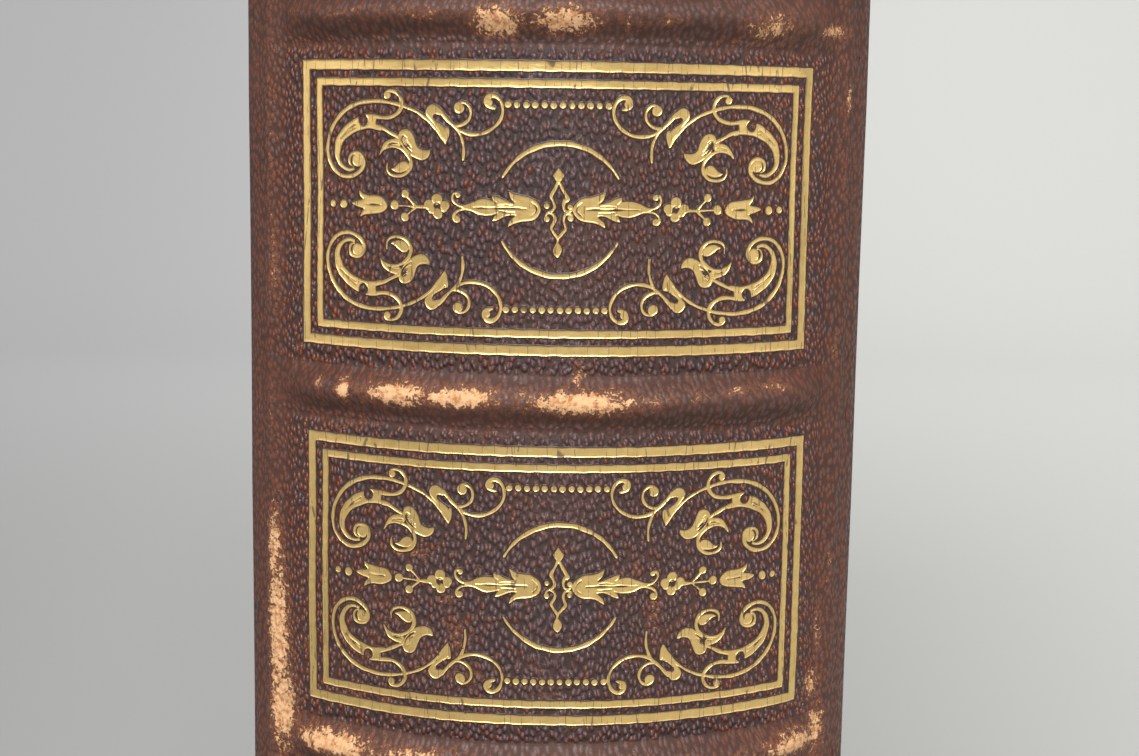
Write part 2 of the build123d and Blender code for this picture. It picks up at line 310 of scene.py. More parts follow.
def cover_skin(side):
    """Skin over the joint, the board's outside and its three edges, turned in."""
    name = "front_side_skin" if side > 0 else "back_side_skin"
    start = spine_point(np.array([HALF_ARC]), np.array([0.0]), np.array([0.0]))[0]
    path = [(start[0], start[1])] + JOINT_PATH
    step = 2.6
    ys = list(np.arange(-61.5, FORE_EDGE - EDGE_ROUND - 1, step)) + [FORE_EDGE - EDGE_ROUND]
    path += [(BOARD_OUT, y) for y in ys]
    path = np.array(path)
    seam = len(JOINT_PATH) + 1
    along = lengths(path) + HALF_ARC
    tangent = np.gradient(path, axis=0)
    tangent /= np.linalg.norm(tangent, axis=1)[:, None]
    inward = np.stack([-tangent[:, 1], tangent[:, 0]], -1)
    inward[seam:] = (-1.0, 0.0)
    zs = height_rows()
    zs = zs[(zs > EDGE_ROUND + 0.4) & (zs < HEIGHT - EDGE_ROUND - 0.4)]
    zs = zs[:: 2]
    zs = np.concatenate([[EDGE_ROUND], zs, [HEIGHT - EDGE_ROUND]])
    n_rows, n_cols = len(zs), len(path)
    lift = waves(np.full(n_rows, HALF_ARC), zs)
    fade = smooth(1 - (along - HALF_ARC) / 5.0)
    grid = np.zeros((n_rows, n_cols, 3))
    bulge = 0.06 * np.sin(along[None, :] * 0.11 + zs[:, None] * 0.07)
    out = lift[:, None] * fade[None, :] - np.abs(bulge) * (1 - fade[None, :])
    grid[:, :, 0] = path[None, :, 0] - inward[None, :, 0] * out
    grid[:, :, 1] = path[None, :, 1] - inward[None, :, 1] * out
    grid[:, :, 2] = zs[:, None]
    grid[0, -1, 1:] += (-0.38, 0.38)  # the corners are slightly round
    grid[-1, -1, 1:] += (-0.38, -0.38)
    points = [grid.reshape(-1, 3)]
    uv = [np.stack(np.meshgrid(along, zs), -1).reshape(-1, 2)]
    faces = [grid_faces(n_rows, n_cols)]
    # the loop round tail, fore edge and head
    loop = [(0, j) for j in range(n_cols)] + [(i, n_cols - 1) for i in range(1, n_rows - 1)]
    loop += [(n_rows - 1, j) for j in range(n_cols - 1, -1, -1)]
    index = np.array([i * n_cols + j for i, j in loop])
    base = points[0][index]
    base_uv = uv[0][index]
    outward = np.zeros((len(loop), 3))
    depth_dir = np.zeros((len(loop), 3))
    limit = np.zeros(len(loop))
    for k, (i, j) in enumerate(loop):
        if i == 0:
            outward[k, 2] = -1
        if i == n_rows - 1:
            outward[k, 2] = 1
        if j == n_cols - 1:
            outward[k, 1] = 1
        outward[k] /= np.linalg.norm(outward[k])
        depth_dir[k, :2] = inward[j]
        limit[k] = COVER_DEPTH if j >= seam else JOINT_DEPTH
    at_corner = (np.abs(outward[:, 1]) > 0.1) & (np.abs(outward[:, 2]) > 0.1)
    previous = index
    for step_number, (off, depth) in enumerate(TURN_PATH, 1):
        move = outward * off
        if off < 0:
            move[at_corner] *= sqrt(2)
            move[limit < COVER_DEPTH] = 0.0
        points.append(base + move + depth_dir * np.minimum(depth, limit)[:, None])
        uv.append(base_uv + outward[:, 1:3] * 0.6 * step_number)
        current = len(points[0]) + (step_number - 1) * len(loop) + np.arange(len(loop))
        faces.append(np.stack([previous[:-1], current[:-1], current[1:], previous[1:]], -1))
        previous = current
    points = np.concatenate(points)
    uv = np.concatenate(uv)
    faces = np.concatenate(faces)
    if side < 0:
        points = points * np.array([-1.0, 1.0, 1.0])
        faces = faces[:, ::-1]
        uv = uv * np.array([-1.0, 1.0])
    # wear along the edges and the joint
    x, y, z = np.abs(points[:, 0]), points[:, 1], points[:, 2]
    edge = np.minimum(np.minimum(z, HEIGHT - z), FORE_EDGE - y)
    wear = edge_wear(y, z, edge)
    u_abs = np.abs(uv[:, 0])
    joint = (u_abs < HALF_ARC + 5.5) & (x > 30)
    crack = np.exp(-(((u_abs - HALF_ARC - 0.2) / 0.9) ** 2))
    crack = DYED + 0.18 * crack * (0.6 + 0.4 * np.sin(z * 0.13 + side))
    wear = np.where(joint, np.maximum(crack, DYED + (wear - DYED) * (edge < 2)), wear)
    rub = np.where(u_abs < HALF_ARC + 6.0, 0.85, 0.0)
    rub = np.maximum(rub, 0.6 * np.exp(-((edge / 2.0) ** 2)))
    return make_mesh(name, points, faces, uv, {"wear": wear, "rub": rub})


def inner_joint(side):
    """Endpaper that folds into the inner joint, from the pastedown to the flyleaf."""
    name = "front_inner_joint" if side > 0 else "back_inner_joint"
    path = [(31.02, -61.6), (31.06, -62.5), (31.5, -63.05), (32.3, -63.25), (33.0, -63.6)]
    path += [(33.3, -64.2), (33.15, -64.9), (32.75, -65.2), (32.2, -64.95), (31.6, -64.3)]
    path += [(31.0, -63.6), (30.76, -63.0), (30.74, -62.2)]
    zs = np.linspace(4.2, 240.8, 80)
    path = np.array(path) * np.array([side, 1.0])
    along = lengths(path)
    rows = []
    uv = []
    for z in zs:
        rows.append(np.column_stack([path, np.full(len(path), z)]))
        uv.append(np.column_stack([along, np.full(len(path), z)]))
    faces = grid_faces(len(zs), len(path), flip=side < 0)
    return make_mesh(name, np.concatenate(rows), faces, np.concatenate(uv))


# ---- gilt ornament as a distance field, then a thin sheet cut along it
def spline(points, step=0.12):
    """Catmull-Rom curve through the points, with any further columns carried along."""
    p = np.array(points, float)
    ends = np.concatenate([2 * p[:1] - p[1:2], p, 2 * p[-1:] - p[-2:-1]])
    out = []
    for a, b, c, d in zip(ends, ends[1:], ends[2:], ends[3:]):
        count = max(2, int(hypot(*(c - b)[:2]) / step))
        t = np.arange(count)[:, None] / count
        square, cube = 2 * a - 5 * b + 4 * c - d, 3 * b - a - 3 * c + d
        out.append(0.5 * (2 * b + (c - a) * t + square * t**2 + cube * t**3))
    out.append(p[-1:])
    return np.concatenate(out)


def stroke(*points):
    """A line with its width: each point is (u, v, width)."""
    return ("line", spline(points))


def leaf(*points):
    """A filled outline through the points. A point given twice makes a sharp corner."""
    parts, run = [], [points[0]]
    for p in points[1:] + (points[0],):
        if p == run[-1]:
            if len(run) > 1:
                parts.append(spline(run)[:-1])
            run = [p]
        else:
            run.append(p)
    parts.append(spline(run)[:-1] if len(run) > 1 else np.array(run, float))
    return ("area", np.concatenate(parts))


def ball(u, v, r):
    return ("ball", np.array([[u, v, r]]))


def circle(u, v, r, width):
    angles = np.linspace(0, 2 * pi, 19)
    return ("line", np.array([[u + r * cos(a), v + r * sin(a), width] for a in angles]))


def box(u0, u1, v0, v1):
    return ("area", np.array([[u0, v0], [u1, v0], [u1, v1], [u0, v1]], float))


def distance(shape, x, y):
    """Signed distance from the points to a shape, negative inside."""
    kind, data = shape
    if kind == "ball":
        return np.hypot(x - data[0, 0], y - data[0, 1]) - data[0, 2]
    if kind == "line":
        a, b = data[:-1], data[1:]
    else:
        a, b = data, np.roll(data, -1, axis=0)
    best = np.full(x.shape, 1e9)
    inside = np.zeros(x.shape, bool)
    for p, q in zip(a, b):
        ex, ey = q[0] - p[0], q[1] - p[1]
        length = ex * ex + ey * ey
        if length < 1e-12:
            continue
        t = np.clip(((x - p[0]) * ex + (y - p[1]) * ey) / length, 0, 1)
        d = np.hypot(x - p[0] - t * ex, y - p[1] - t * ey)
        if kind == "line":
            d = d - (p[2] + t * (q[2] - p[2])) / 2
        best = np.minimum(best, d)
        if kind == "area" and abs(ey) > 1e-12:
            cross = (p[1] > y) != (q[1] > y)
            inside ^= cross & (x < p[0] + (y - p[1]) * ex / ey)
    if kind == "area":
        best = np.where(inside, -best, best)
    return best


def add_shapes(field, x, y, shapes, cut=False, margin=0.6):
    for shape in shapes:
        data = shape[1]
        reach = margin + (data[:, 2].max() if data.shape[1] > 2 else 0)
        u0, u1 = data[:, 0].min() - reach, data[:, 0].max() + reach
        v0, v1 = data[:, 1].min() - reach, data[:, 1].max() + reach
        near = (x > u0) & (x < u1) & (y > v0) & (y < v1)
        if not near.any():
            continue
        d = distance(shape, x[near], y[near])
        if cut:
            field[near] = np.maximum(field[near], -d)
        else:
            field[near] = np.minimum(field[near], d)
    return field


# One corner of the scroll, as it stands in the upper left: u is negative, v is positive.
CORNER = [
    # outer line, from inside the volute round to the tip by the hooked leaf
    stroke(
        (-22.55, 4.06, 0.16), (-22.95, 4.28, 0.26), (-23.13, 4.75, 0.3), (-22.95, 5.25, 0.34),
        (-22.45, 5.5, 0.34), (-21.8, 5.42, 0.36), (-21.4, 5.05, 0.4), (-21.27, 4.5, 0.42),
        (-21.5, 3.85, 0.42), (-22.15, 3.3, 0.42), (-23.1, 2.98, 0.4), (-24.1, 3.06, 0.38),
        (-25.0, 3.55, 0.38), (-25.65, 4.35, 0.38), (-26.0, 5.3, 0.38), (-26.02, 6.3, 0.4),
        (-25.75, 7.4, 0.4), (-25.2, 8.45, 0.42), (-24.35, 9.4, 0.44), (-23.3, 10.15, 0.44),
        (-22.0, 10.68, 0.42), (-20.6, 10.93, 0.4), (-19.1, 10.95, 0.36), (-17.6, 10.75, 0.32),
        (-16.2, 10.38, 0.28), (-15.0, 9.9, 0.26), (-14.0, 9.28, 0.26), (-13.2, 8.6, 0.28),
        (-12.5, 7.75, 0.26), (-11.8, 6.7, 0.16),
    ),
    ball(-22.1, 4.72, 0.66),
    # thick body of the scroll
    leaf(
        (-22.4, 3.72), (-23.2, 3.55), (-24.0, 3.78), (-24.7, 4.4), (-25.08, 5.25), (-25.08, 6.1),
        (-24.85, 6.95), (-24.3, 7.75), (-23.5, 8.45), (-22.7, 8.95), (-21.92, 9.25),
        (-21.92, 9.25), (-21.85, 8.75), (-21.6, 8.42), (-21.25, 8.33), (-20.9, 8.5),
        (-20.72, 8.9), (-20.85, 9.3), (-21.25, 9.58), (-21.25, 9.58), (-20.4, 9.6), (-19.7, 9.5),
        (-19.7, 9.5), (-19.74, 8.55), (-19.74, 8.55), (-19.0, 8.35), (-19.0, 8.35), (-19.2, 7.92),
        (-19.2, 7.92), (-20.2, 8.08), (-21.2, 8.02), (-22.2, 7.72), (-23.1, 7.3), (-23.8, 6.75),
        (-24.2, 6.1), (-24.42, 5.4), (-24.3, 4.7), (-23.85, 4.15), (-23.2, 3.88), (-22.5, 3.95),
        (-22.5, 3.95),
    ),
    # stem that crosses the outer line and curls at the top
    stroke(
        (-19.9, 9.36, 0.4), (-19.0, 9.24, 0.38), (-18.1, 9.3, 0.36), (-17.35, 9.62, 0.38),
        (-16.85, 10.15, 0.42), (-16.68, 10.8, 0.4), (-16.85, 11.4, 0.36), (-17.3, 11.88, 0.34),
        (-17.9, 12.06, 0.3), (-18.4, 11.98, 0.26), (-18.66, 11.7, 0.22),
    ),
    ball(-18.36, 11.56, 0.38),
    # branch down to the bud, and the small hooked leaf
    stroke(
        (-19.6, 8.27, 0.36), (-18.8, 8.08, 0.36), (-18.0, 7.68, 0.34), (-17.2, 7.3, 0.32),
        (-16.9, 7.05, 0.3),
    ),
    leaf(
        (-19.38, 5.28), (-19.38, 5.28), (-19.12, 6.0), (-18.72, 6.6), (-18.1, 6.98),
        (-17.4, 7.12), (-16.85, 7.1), (-16.75, 6.7), (-16.95, 6.38), (-17.5, 6.44), (-18.1, 6.36),
        (-18.6, 6.1), (-19.0, 5.7),
    ),
    stroke(
        (-18.9, 5.9, 0.12), (-18.3, 6.2, 0.22), (-17.6, 6.28, 0.26), (-16.9, 6.12, 0.3),
        (-16.35, 5.8, 0.34), (-15.85, 5.3, 0.38), (-15.62, 4.7, 0.38), (-15.72, 4.05, 0.4),
        (-16.15, 3.5, 0.36), (-16.8, 3.22, 0.3), (-17.5, 3.2, 0.28), (-18.1, 3.42, 0.26),
        (-18.42, 3.85, 0.22), (-18.42, 4.5, 0.1),
    ),
    leaf(
        (-18.0, 3.92), (-18.0, 3.92), (-17.5, 4.1), (-17.05, 4.48), (-16.6, 4.74), (-16.1, 4.7),
        (-15.85, 4.3), (-16.1, 3.85), (-16.6, 3.62), (-17.2, 3.6), (-17.7, 3.74),
    ),
    # S-shaped bud
    leaf(
        (-16.9, 7.05), (-17.02, 7.5), (-16.75, 7.95), (-16.2, 8.1), (-15.7, 7.92), (-15.35, 7.4),
        (-15.12, 6.8), (-14.9, 6.3), (-14.5, 6.02), (-14.0, 5.93), (-13.42, 6.02), (-13.42, 6.02),
        (-13.5, 5.6), (-13.85, 5.15), (-14.4, 4.94), (-15.0, 5.06), (-15.5, 5.3), (-16.1, 5.78),
        (-16.55, 6.3),
    ),
    # hooked leaf on the outer line
    leaf(
        (-13.9, 9.62), (-13.98, 10.0), (-13.75, 10.45), (-13.3, 10.7), (-12.85, 10.62),
        (-12.45, 10.25), (-12.1, 9.75), (-12.4, 9.62), (-12.9, 9.72), (-13.15, 9.6),
        (-13.1, 9.25), (-12.7, 8.9), (-12.2, 8.6), (-11.75, 8.35), (-11.48, 8.3), (-11.42, 7.8),
        (-11.55, 7.1), (-11.8, 6.62), (-11.8, 6.62), (-12.3, 7.5), (-13.0, 8.5),
    ),
    stroke(
        (-12.45, 10.1, 0.4), (-12.0, 9.6, 0.36), (-11.5, 9.05, 0.32), (-11.0, 8.6, 0.3),
        (-10.5, 8.15, 0.3), (-10.15, 7.5, 0.28), (-9.9, 6.7, 0.26), (-9.82, 5.9, 0.26),
        (-9.88, 5.05, 0.2),
    ),
    # small curl and large curl
    stroke(
        (-11.0, 8.58, 0.28), (-10.4, 8.55, 0.28), (-9.75, 8.8, 0.28), (-9.3, 9.25, 0.28),
        (-9.12, 9.85, 0.26), (-9.25, 10.45, 0.24), (-9.65, 10.85, 0.24), (-10.15, 10.95, 0.26),
        (-10.55, 10.75, 0.26),
    ),
    ball(-10.35, 10.4, 0.54),
    stroke(
        (-10.9, 8.5, 0.26), (-10.2, 8.02, 0.3), (-9.4, 7.74, 0.32), (-8.5, 7.68, 0.32),
        (-7.6, 7.86, 0.32), (-6.8, 8.3, 0.3), (-6.15, 8.95, 0.28), (-5.78, 9.8, 0.28),
        (-5.78, 10.6, 0.28), (-6.1, 11.3, 0.34), (-6.65, 11.68, 0.42), (-7.2, 11.6, 0.5),
        (-7.5, 11.2, 0.5), (-7.4, 10.75, 0.46), (-6.95, 10.5, 0.36), (-6.62, 10.42, 0.2),
    ),
    ball(-7.22, 10.98, 0.36),
]
# veins and hatching, pressed as ungilded lines inside the shapes
CORNER_CUTS = [
    stroke(
        (-16.62, 7.35, 0.08), (-16.68, 6.95, 0.16), (-16.45, 6.5, 0.2), (-16.05, 6.1, 0.18),
        (-15.6, 5.78, 0.1),
    ),
    stroke((-16.5, 7.38, 0.07), (-16.15, 7.15, 0.07)),
    stroke((-16.55, 7.16, 0.08), (-16.1, 6.88, 0.06)),
    stroke((-16.5, 6.94, 0.08), (-15.95, 6.62, 0.06)),
    stroke((-16.4, 6.72, 0.08), (-15.8, 6.38, 0.06)),
    stroke((-16.22, 6.5, 0.08), (-15.65, 6.18, 0.06)),
    stroke((-18.3, 6.44, 0.07), (-17.7, 6.6, 0.08), (-17.1, 6.58, 0.06)),
    stroke((-12.75, 9.35, 0.07), (-12.6, 8.85, 0.07)),
    stroke((-12.5, 9.15, 0.07), (-12.3, 8.6, 0.07)),
    stroke((-12.25, 8.98, 0.07), (-12.02, 8.4, 0.07)),
    stroke((-12.0, 8.8, 0.07), (-11.8, 8.2, 0.07)),
    stroke((-22.85, 4.9, 0.07), (-22.88, 4.5, 0.12), (-22.65, 4.16, 0.08)),
    stroke((-17.55, 3.5, 0.06), (-17.0, 3.42, 0.07), (-16.5, 3.5, 0.05)),
    stroke((-13.0, 9.5, 0.1), (-12.6, 9.2, 0.14), (-12.15, 8.95, 0.14), (-11.75, 8.6, 0.08)),
    stroke((-24.0, 7.2, 0.05), (-23.2, 7.95, 0.06), (-22.3, 8.5, 0.05)),
    stroke((-24.3, 7.0, 0.05), (-23.3, 7.7, 0.05), (-22.4, 8.15, 0.05)),
]
# Left half of the middle row, mirrored to the right.
ROW = [
    ball(-25.3, 0.05, 0.36),
    ball(-23.9, 0.05, 0.46),
    # tulip
    leaf(
        (-22.9, 0.16), (-22.9, 0.16), (-22.3, 0.42), (-21.4, 0.62), (-21.75, 1.05), (-21.9, 1.62),
        (-21.9, 1.62), (-21.4, 1.22), (-20.6, 1.1), (-19.7, 1.05), (-18.95, 0.85), (-18.45, 0.35),
        (-18.4, -0.1), (-18.8, -0.5), (-19.5, -0.78), (-20.4, -0.86), (-21.2, -1.0),
        (-21.85, -1.32), (-21.85, -1.32), (-21.65, -0.85), (-21.3, -0.35), (-22.2, -0.15),
    ),
    ball(-17.5, 0.13, 0.48),
    # sprig with three balls
    stroke((-17.1, 0.1, 0.14), (-16.0, 0.08, 0.16), (-14.9, 0.04, 0.26), (-13.9, 0.05, 0.4)),
    stroke((-16.2, 1.25, 0.2), (-15.7, 0.75, 0.2), (-15.15, 0.2, 0.24)),
    stroke((-16.2, -1.0, 0.2), (-15.7, -0.55, 0.16), (-15.15, -0.1, 0.22)),
    ball(-16.28, 1.38, 0.42),
    ball(-16.28, -1.08, 0.44),
    # flower
    ball(-12.68, 0.88, 0.58),
    ball(-12.6, -0.62, 0.52),
    ball(-13.6, 0.26, 0.52),
    ball(-11.85, 0.24, 0.5),
    ball(-13.3, -0.2, 0.4),
    ball(-11.9, -0.14, 0.34),
    # pair of curls
    stroke(
        (-9.7, 0.2, 0.26), (-10.3, 0.28, 0.22), (-10.8, 0.62, 0.22), (-11.02, 1.1, 0.22),
        (-10.85, 1.55, 0.24), (-10.5, 1.55, 0.3),
    ),
    ball(-10.42, 1.4, 0.28),
    stroke(
        (-9.7, -0.05, 0.22), (-10.3, -0.2, 0.2), (-10.75, -0.55, 0.22), (-10.9, -1.0, 0.24),
        (-10.7, -1.3, 0.3),
    ),
    ball(-10.5, -1.12, 0.36),
    # long leaf
    leaf(
        (-10.2, 0.3), (-9.4, 0.42), (-8.7, 0.72), (-8.0, 0.98), (-7.3, 1.0), (-6.55, 0.82),
        (-6.3, 0.62), (-6.7, 0.95), (-6.78, 1.38), (-6.78, 1.38), (-6.2, 1.28), (-5.6, 1.0),
        (-5.0, 0.78), (-4.4, 0.7), (-4.8, 1.15), (-5.1, 1.95), (-5.1, 1.95), (-4.4, 1.62),
        (-3.6, 1.42), (-2.9, 1.34), (-2.3, 1.05), (-1.85, 0.6), (-1.68, 0.15), (-1.8, -0.35),
        (-2.2, -0.85), (-2.9, -1.12), (-3.7, -1.2), (-4.4, -1.4), (-5.12, -1.85), (-5.12, -1.85),
        (-4.9, -1.2), (-4.3, -0.62), (-4.9, -0.56), (-5.6, -0.8), (-6.2, -1.08), (-6.7, -1.2),
        (-6.7, -1.2), (-6.5, -0.75), (-6.2, -0.45), (-6.9, -0.62), (-7.6, -0.66), (-8.3, -0.52),
        (-9.0, -0.22), (-9.8, -0.06),
    ),
]
ROW_CUTS = [
    stroke((-8.8, 0.08, 0.05), (-7.0, 0.1, 0.12), (-5.0, 0.12, 0.16), (-3.2, 0.1, 0.1)),
    stroke((-21.0, 0.14, 0.06), (-20.2, 0.12, 0.14), (-19.3, 0.1, 0.08)),
    stroke((-2.6, 0.75, 0.05), (-2.15, 0.3, 0.09), (-2.15, -0.2, 0.09), (-2.6, -0.62, 0.05)),
    stroke((-6.2, 0.35, 0.05), (-5.4, 0.45, 0.08), (-4.6, 0.4, 0.05)),
    stroke((-6.0, -0.2, 0.05), (-5.2, -0.3, 0.08), (-4.4, -0.28, 0.05)),
    circle(-12.69, 0.14, 0.36, 0.07),
]
# the middle: two diamonds on a lozenge of strap-work, with small curls either side
MIDDLE = [
    leaf(
        (0.12, 4.45), (0.12, 4.45), (0.72, 3.62), (0.72, 3.62), (0.4, 3.05), (-0.05, 3.05),
        (-0.42, 3.62), (-0.42, 3.62),
    ),
    leaf(
        (0.08, -3.2), (0.08, -3.2), (0.5, -3.8), (0.58, -4.25), (0.25, -4.85), (-0.1, -4.75),
        (-0.3, -4.3), (-0.2, -3.8),
    ),
    stroke(
        (0.14, 3.1, 0.3), (-0.2, 2.3, 0.28), (-0.6, 1.5, 0.34), (-0.38, 0.9, 0.26),
        (-0.22, 0.35, 0.26), (-0.5, -0.08, 0.22), (-0.8, -0.2, 0.22),
    ),
    stroke(
        (0.14, 3.1, 0.3), (0.6, 2.2, 0.28), (1.15, 1.2, 0.4), (0.9, 1.1, 0.4), (0.7, 0.6, 0.26),
        (0.82, 0.0, 0.26), (1.2, -0.18, 0.2),
    ),
    stroke(
        (-0.8, -0.2, 0.24), (-0.4, -0.4, 0.26), (-0.16, -0.85, 0.26), (-0.32, -1.35, 0.26),
        (-0.55, -1.8, 0.3), (-0.3, -2.3, 0.26), (0.14, -2.95, 0.28), (0.1, -3.3, 0.2),
    ),
    stroke(
        (1.2, -0.3, 0.22), (0.9, -0.4, 0.24), (0.74, -0.9, 0.24), (0.82, -1.4, 0.24),
        (0.98, -1.9, 0.28), (0.6, -2.4, 0.26), (0.14, -2.95, 0.28),
    ),
    ball(-1.06, 0.48, 0.28),
    ball(-1.05, -0.9, 0.3),
    stroke((-0.9, -0.25, 0.2), (-1.15, -0.55, 0.18), (-1.2, -0.9, 0.2)),
    ball(1.4, 0.38, 0.28),
    ball(1.44, -0.8, 0.3),
    stroke((1.1, -0.1, 0.2), (1.45, -0.05, 0.18), (1.6, 0.3, 0.16)),
    stroke((1.2, -0.25, 0.2), (1.6, -0.5, 0.16), (1.6, -0.8, 0.18)),
]


def mirrored(shapes, u_sign, v_sign):
    out = []
    for kind, data in shapes:
        data = data.copy()
        data[:, 0] *= u_sign
        data[:, 1] *= v_sign
        out.append((kind, data))
    return out


def ornament_shapes():
    gold, cuts = list(MIDDLE), []
    for u_sign in (1, -1):
        gold += mirrored(ROW, u_sign, 1)
        cuts += mirrored(ROW_CUTS, u_sign, 1)
        for v_sign in (1, -1):
            gold += mirrored(CORNER, u_sign, v_sign)
            cuts += mirrored(CORNER_CUTS, u_sign, v_sign)
    for v_sign in (1, -1):
        gold += [ball(-5.2 + 0.945 * k, v_sign * 10.62 + 0.18, 0.33) for k in range(12)]
        angles = np.linspace(radians(29), radians(151), 50)
        arc = []
        for a, t in zip(angles, np.linspace(0, 1, 50)):
            width = 0.2 + 0.26 * min(1.0, 3.5 * min(t, 1 - t))
            arc.append((0.35 + ARC_RADIUS * cos(a), v_sign * ARC_RADIUS * sin(a), width))
        gold.append(("line", np.array(arc)))
    return gold, cuts


def frame_shapes():
    """Two gilt rules round a panel, each as four strips."""
    shapes = []
    outer = (FRAME_HALF, FRAME_HEIGHT / 2, 1.0)
    inner = (27.5, FRAME_HEIGHT / 2 - 1.89, 0.78)
    for half_u, half_v, width in (outer, inner):
        for sign in (1, -1):
            v = sorted((sign * half_v, sign * (half_v - width)))
            shapes.append(box(-half_u, half_u, v[0], v[1]))
            u = sorted((sign * half_u, sign * (half_u - width)))
            shapes.append(box(u[0], u[1], -half_v, half_v))
    return shapes


def cut_sheet(name, field_of, half_u, half_v, cell, centre_z, shift):
    """Sheet on the spine's surface where the field is below HALO, cut along that line."""
    us = np.arange(-half_u, half_u + cell, cell)
    vs = np.arange(-half_v, half_v + cell, cell)
    x, y = np.meshgrid(us, vs)
    field = field_of(x, y)
    keep = field < HALO
    # corners just outside slide to the line, so that the outline is smooth
    gv, gu = np.gradient(field, cell)
    size = np.maximum(np.hypot(gu, gv), 0.4)
    near = (field >= HALO) & (field < HALO + 1.45 * cell)
    pull = np.where(near, field - HALO, 0)
    x2 = x - gu / size**2 * pull
    y2 = y - gv / size**2 * pull
    value = np.where(near, HALO, field)
    usable = keep | near
    kept = keep[:-1, :-1] | keep[1:, :-1] | keep[:-1, 1:] | keep[1:, 1:]
    kept &= usable[:-1, :-1] & usable[1:, :-1] & usable[:-1, 1:] & usable[1:, 1:]
    quads = grid_faces(*x.shape)[kept.ravel()]
    used, inverse = np.unique(quads, return_inverse=True)
    quads = inverse.reshape(-1, 4)
    u = x2.ravel()[used] + shift
    z = y2.ravel()[used] + centre_z
    d = value.ravel()[used]
    rim = 0.045 * smooth((HALO - d) / 0.08)
    floor = 0.038 * smooth((0.02 - d) / 0.13)
    lift = spine_lift(u, z) + 0.012 + rim - floor
    floats = {"edge": d, "wear": wear_field(u, z)}
    return make_mesh(name, spine_point(u, z, lift), quads, np.stack([u, z], -1), floats)


def uneven(x, y, seed):
    """A tool pressed by hand: the edge of the gold wanders a little."""
    return 0.02 * np.sin(x * 3.1 + y * 1.7 + seed) + 0.018 * np.sin(y * 4.3 - x * 2.2 + 2 * seed)


def ornament_sheet(key, centre_z, cell):
    gold, cuts = ornament_shapes()

    def field_of(x, y):
        field = np.full(x.shape, 9.0)
        add_shapes(field, x, y, gold)
        add_shapes(field, x, y, cuts, cut=True)
        return field + uneven(x, y, centre_z)

    shift = PANEL_SHIFT.get(key, 0.0)
    return cut_sheet(f"gilt_ornament_{key}", field_of, 26.8, 12.9, cell, centre_z, shift)


def rules_sheet(key, centre_z, cell, seed):
    rules = frame_shapes()

    def field_of(x, y):
        field = add_shapes(np.full(x.shape, 9.0), x, y, rules)
        return field + uneven(x, y, seed) * 0.9

    half_v = FRAME_HEIGHT / 2 + 0.6
    shift = PANEL_SHIFT.get(key, 0.0)
    return cut_sheet(f"gilt_rules_{key}", field_of, 30.1, half_v, cell * 1.5, centre_z, shift)


# ---- materials
def srgb(r, g, b):
    def one(c):
        c /= 255
        return c / 12.92 if c <= 0.04045 else ((c + 0.055) / 1.055) ** 2.4

    return (one(r), one(g), one(b), 1.0)


class Shader:
    """Small helper that adds nodes and links them by keyword."""

    def __init__(self, name):
        self.material = bpy.data.materials.new(name)
        self.material.use_nodes = True
        self.tree = self.material.node_tree
        self.tree.nodes.clear()

    def feed(self, socket, value):
        if isinstance(value, bpy.types.NodeSocket):
            self.tree.links.new(value, socket)
        else:
            socket.default_value = value

    def node(self, kind, inputs=None, out=0, **settings):
        n = self.tree.nodes.new(kind)
        for key, value in settings.items():
            setattr(n, key, value)
        for key, value in (inputs or {}).items():
            self.feed(n.inputs[key], value)
        return n.outputs[out] if len(n.outputs) else n

    def math(self, operation, a, b=0.0, clamp=False):
        return self.node("ShaderNodeMath", {0: a, 1: b}, operation=operation, use_clamp=clamp)

    def add(self, a, b, clamp=False):
        return self.math("ADD", a, b, clamp)

    def mul(self, a, b):
        return self.math("MULTIPLY", a, b)

    def sub(self, a, b):
        return self.math("SUBTRACT", a, b)

    def swing(self, noise, amount):
        """Noise as a change either way."""
        return self.mul(self.sub(noise, 0.5), amount)

    def ramp(self, value, low, high, to_low=0.0, to_high=1.0):
        inputs = {"Value": value, "From Min": low, "From Max": high}
        inputs |= {"To Min": to_low, "To Max": to_high}
        return self.node("ShaderNodeMapRange", inputs, interpolation_type="SMOOTHSTEP")

    def mix(self, factor, a, b):
        n = self.tree.nodes.new("ShaderNodeMix")
        n.data_type = "RGBA"
        for socket, value in zip((0, 6, 7), (factor, a, b)):
            self.feed(n.inputs[socket], value)
        return n.outputs[2]

    def attribute(self, name):
        return self.node("ShaderNodeAttribute", out=2, attribute_name=name)

    def noise(self, vector, scale, detail=2.0, roughness=0.5, distortion=0.0):
        inputs = {"Vector": vector, "Scale": scale, "Detail": detail}
        inputs |= {"Roughness": roughness, "Distortion": distortion}
        return self.node("ShaderNodeTexNoise", inputs)

    def mapped(self, vector, rotation, scale):
        inputs = {"Vector": vector, "Rotation": (0.0, 0.0, rotation), "Scale": scale}
        return self.node("ShaderNodeMapping", inputs)

    def bump(self, height, strength, distance):
        inputs = {"Height": height, "Strength": strength, "Distance": distance}
        return self.node("ShaderNodeBump", inputs)

    def finish(self, color, rough, normal=None, metal=0.0, specular=0.5):
        inputs = {"Base Color": color, "Roughness": rough, "Metallic": metal}
        inputs["Specular IOR Level"] = specular
        if normal:
            inputs["Normal"] = normal
        shader = self.node("ShaderNodeBsdfPrincipled", inputs)
        self.node("ShaderNodeOutputMaterial", {"Surface": shader})
        return self.material


